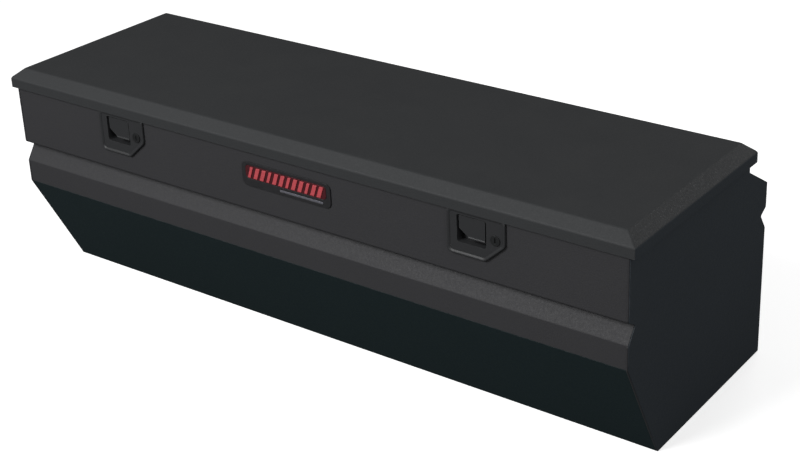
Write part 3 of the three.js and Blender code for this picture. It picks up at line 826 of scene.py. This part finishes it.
class TOOLBOX_OT_latches(Build, bpy.types.Operator):
    """Paddle latches with their locks, bolts, brackets and strikers"""

    bl_idname = "toolbox.latches"
    bl_label = "Latches"

    def build(self):
        for name, _ in SIDES:
            self.latch(name + "_latch_")

    def latch(self, prefix):
        edges = {
            "gasket": 0.0002, "housing": 0.00035, "paddle": 0.0005, "paddle_pin": 0.0003,
            "lock_cylinder": 0.0003, "lock_cam": 0.0004, "backplate": 0.0003,
            "bolt_guide": 0.0003, "bolt": 0.0006, "striker": 0.0004,
        }
        for part, width in edges.items():
            rounded_node(prefix + part, width, "lock satin" if part == "lock_cylinder" else None)
        rounded_node(prefix + "paddle_spring", 0.0, degrees=80)
        self.rim(prefix)
        self.fixings(prefix)

    def rim(self, prefix):
        """Raised bead round the bezel, lower where it tucks under the lid."""
        low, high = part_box(prefix + "housing")
        centre_x = low.x - BEZEL[0][0] * MM
        centre_z = high.z - BEZEL[0][1] * MM
        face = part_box("front_panel")[0].y
        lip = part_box("lid_skin")[0].z
        before_lip, ease, lowered = 0.010, 0.012, 0.72
        outer, inner = rounded_outline(BEZEL), rounded_outline(RIM_INSIDE)
        bm = bmesh.new()
        rings = []
        for share, lift in RIM_SECTION:
            ring = []
            for a, b in zip(outer, inner):
                p = a.lerp(b, share)
                z = centre_z + p.y * MM
                tucked = max(0.0, min(1.0, (z - lip + before_lip) / ease))
                stand = settings().sizes.rim * (1 - lowered * tucked)
                y = face - BEZEL_PLATE - lift * stand
                ring.append(bm.verts.new((centre_x + p.x * MM, y, z)))
            rings.append(ring)
        n = len(outer)
        for first, second in zip(rings, rings[1:] + rings[:1]):
            for i in range(n):
                j = (i + 1) % n
                bm.faces.new((first[i], first[j], second[j], second[i]))
        bead = piece_of(prefix + "bezel_rim", bm, "latch coat", "box")
        round_edges(bead, 0)

    def fixings(self, prefix):
        """Screws of the bracket behind the dish, and the striker's rivets."""
        s = settings().sizes
        low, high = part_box(prefix + "backplate")
        inset_x, inset_z, flange = 0.006, 0.010, 0.0015
        bm = bmesh.new()
        for x in (low.x + inset_x, high.x - inset_x):
            for z in (low.z + inset_z, high.z - inset_z):
                screw(bm, (x, low.y + flange, z), (0, 1, 0), s.screw * 0.8)
        piece_of(prefix + "bracket_screws", bm, "zinc plate", "box")
        low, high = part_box(prefix + "striker")
        inset_x, inset_y, plate = 0.008, 0.009, 0.002
        bm = bmesh.new()
        for x in (low.x + inset_x, high.x - inset_x):
            rivet(bm, (x, high.y - inset_y, high.z - plate), (0, 0, -1), s.rivet)
        piece_of(prefix + "striker_rivets", bm, "zinc plate", "lid")


class TOOLBOX_OT_struts(Build, bpy.types.Operator):
    """Gas struts with their brackets and screws"""

    bl_idname = "toolbox.struts"
    bl_label = "Gas struts"

    def build(self):
        s = settings().sizes
        for name, side in SIDES:
            rounded_node(name + "_strut_tube", 0.0006)
            rounded_node(name + "_strut_rod", 0.0004)
            rounded_node(name + "_strut_body_bracket", 0.0005)
            rounded_node(name + "_strut_lid_bracket", 0.0005)
            low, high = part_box(name + "_strut_body_bracket")
            plate, inset = 0.003, 0.010
            face = high.x - plate if side > 0 else low.x + plate
            bm = bmesh.new()
            for y in (low.y + inset, high.y - inset):
                for z in (low.z + inset, high.z - inset):
                    screw(bm, (face, y, z), (-side, 0, 0), s.screw)
            piece_of(name + "_strut_body_screws", bm, "zinc plate", "box")
            low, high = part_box(name + "_strut_lid_bracket")
            plate, inset = 0.0025, 0.009
            inner = low.x if side > 0 else high.x
            bm = bmesh.new()
            for y in (low.y + inset, high.y - inset):
                screw(bm, (inner + side * inset, y, high.z - plate), (0, 0, -1), s.screw)
            piece_of(name + "_strut_lid_screws", bm, "zinc plate", "lid")
            self.crimps(name)

    def crimps(self, name):
        """Two rings crimped round the tube, below its mouth."""
        foot = Vector(JOINTS[name + "_strut_swing"]["pos_m"])
        way = Vector(JOINTS[name + "_strut_extend"]["axis"]).normalized()
        inside, outside = TUBE_RADIUS - 0.0004, TUBE_RADIUS + 0.0007
        profile = ((inside, 0.0), (outside, 0.0006), (outside, 0.0030), (inside, 0.0036))
        bm = bmesh.new()
        for height in CRIMPS:
            turned(bm, foot + way * height, way, profile, 24)
        piece_of(name + "_strut_crimps", bm, "strut paint", name + "_strut_tube")


class TOOLBOX_OT_badge(Build, bpy.types.Operator):
    """Plain badge: black plate, a recess with red bars and a grey rule"""

    bl_idname = "toolbox.badge"
    bl_label = "Badge"

    def build(self):
        rounded_node("badge_plate", 0.0006)
        rounded_node("badge_inlay", 0.0004, "badge recess")
        rounded_node("badge_rule", 0.0004)
        low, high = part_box("badge_inlay")
        count, width, proud, margin, from_end = 12, 0.0088, 0.0016, 0.0022, 0.0125
        lean = 0.30 * (high.z - low.z)
        bm = bmesh.new()
        for i in range(count):
            x = low.x + from_end + (high.x - low.x - 2 * from_end) * i / (count - 1)
            half = width / 2 * (1.0 if i % 3 else 0.72)
            foot, head = x - lean / 2, x + lean / 2
            corners = (
                (foot - half, low.z + margin), (foot + half, low.z + margin),
                (head + half, high.z - margin), (head - half, high.z - margin),
            )
            back = [bm.verts.new((u, low.y + 0.0003, v)) for u, v in corners]
            front = [bm.verts.new((u, low.y - proud, v)) for u, v in corners]
            bm.faces.new(front)
            bm.faces.new(back)
            for a in range(4):
                b = (a + 1) % 4
                bm.faces.new((front[a], front[b], back[b], back[a]))
        bars = piece_of("badge_inlay_bars", bm, "badge red", "box")
        round_edges(bars, 0.0005)


class TOOLBOX_OT_stage(Build, bpy.types.Operator):
    """Camera, soft studio light and a pale floor"""

    bl_idname = "toolbox.stage"
    bl_label = "Stage"

    def build(self):
        st = settings().stage
        self.camera(st)
        self.floor(st)
        self.light("key_light", st.key)
        self.light("fill_light", st.fill)
        self.light("back_light", st.back)
        self.light("rear_light", st.rear).visible_glossy = False
        self.sky(st)
        bpy.context.scene.view_settings.view_transform = "Standard"

    def camera(self, st):
        data = bpy.data.cameras.new("camera")
        data.lens = st.lens
        data.sensor_width = 36.0
        data.shift_x, data.shift_y = st.shift
        data.clip_end = 100.0
        camera = placed("camera", data)
        level = math.cos(st.tilt)
        ahead = Vector((-math.sin(st.turn) * level, math.cos(st.turn) * level, -math.sin(st.tilt)))
        right = Vector((math.cos(st.turn), math.sin(st.turn), 0))
        up = right.cross(ahead)
        rolled_right = right * math.cos(st.roll) + up * math.sin(st.roll)
        rolled_up = up * math.cos(st.roll) - right * math.sin(st.roll)
        turn = Matrix((rolled_right, rolled_up, -ahead)).transposed().to_4x4()
        camera.matrix_world = Matrix.Translation(Vector(st.camera)) @ turn
        bpy.context.scene.camera = camera

    def floor(self, st):
        bm = bmesh.new()
        bmesh.ops.create_grid(bm, x_segments=1, y_segments=1, size=30)
        mesh = bpy.data.meshes.new("floor")
        bm.to_mesh(mesh)
        bm.free()
        floor = placed("floor", mesh)
        floor.location.z = CAD_BOX[0].z - FLOOR_GAP
        material, t, shader = new_material("pale floor", 0.9)
        shader.inputs["Specular IOR Level"].default_value = 0.0
        seen = t.add("LightPath").outputs["Is Camera Ray"]
        mottled = t.noise(t.add("TexCoord").outputs["Object"], 2.0, 3.0)
        pale = t.mix(mottled, rgba(st.floor, 0.99), rgba(st.floor, 1.01))
        t.link(t.mix(seen, rgba(st.floor, 0.16), pale), shader.inputs["Base Color"])
        glow = t.mix(seen, (0.0, 0.0, 0.0, 1.0), (st.glow, st.glow, st.glow, 1.0))
        t.link(glow, shader.inputs["Emission Color"])
        shader.inputs["Emission Strength"].default_value = 1.0
        mesh.materials.append(material)

    def light(self, name, energy):
        place, size = LAMPS[name]
        data = bpy.data.lights.new(name, "AREA")
        data.energy = energy
        data.size = size
        lamp = placed(name, data)
        lamp.location = place
        lamp.rotation_mode = "QUATERNION"
        lamp.rotation_quaternion = (Vector(LAMPS_AIM) - Vector(place)).to_track_quat("-Z", "Y")
        return lamp

    def sky(self, st):
        world = bpy.data.worlds.new("sky")
        world.use_nodes = True
        bpy.context.scene.world = world
        t = Tree(world.node_tree)
        background = world.node_tree.nodes["Background"]
        seen = t.add("LightPath").outputs["Is Camera Ray"]
        background.inputs["Color"].default_value = (1, 1, 1, 1)
        strength = t.ramp(seen, 0.0, 1.0, st.sky, 1.0)
        t.link(strength, background.inputs["Strength"])


class TOOLBOX_PT_panel(bpy.types.Panel):
    """Lists the tool box's operators"""

    bl_label = "Truck Tool Box"
    bl_idname = "TOOLBOX_PT_panel"
    bl_space_type = "VIEW_3D"
    bl_region_type = "UI"
    bl_category = "Tool Box"

    def draw(self, context):
        for operator in OPERATORS:
            self.layout.operator(operator.bl_idname)


OPERATORS = (
    TOOLBOX_OT_stage,
    TOOLBOX_OT_shell,
    TOOLBOX_OT_lid,
    TOOLBOX_OT_seal,
    TOOLBOX_OT_hinge,
    TOOLBOX_OT_latches,
    TOOLBOX_OT_struts,
    TOOLBOX_OT_badge,
)
GROUPS_OF_SETTINGS = (TOOLBOX_PG_finishes, TOOLBOX_PG_sizes, TOOLBOX_PG_stage, TOOLBOX_PG_settings)
CLASSES = GROUPS_OF_SETTINGS + OPERATORS + (TOOLBOX_PT_panel,)


def register():
    for item in CLASSES:
        bpy.utils.register_class(item)
    bpy.types.Scene.tool_box = PointerProperty(type=TOOLBOX_PG_settings)


def unregister():
    del bpy.types.Scene.tool_box
    for item in reversed(CLASSES):
        bpy.utils.unregister_class(item)


def main():
    register()
    for operator in OPERATORS:
        getattr(bpy.ops.toolbox, operator.bl_idname.split(".")[1])()


if __name__ == "__main__":
    main()
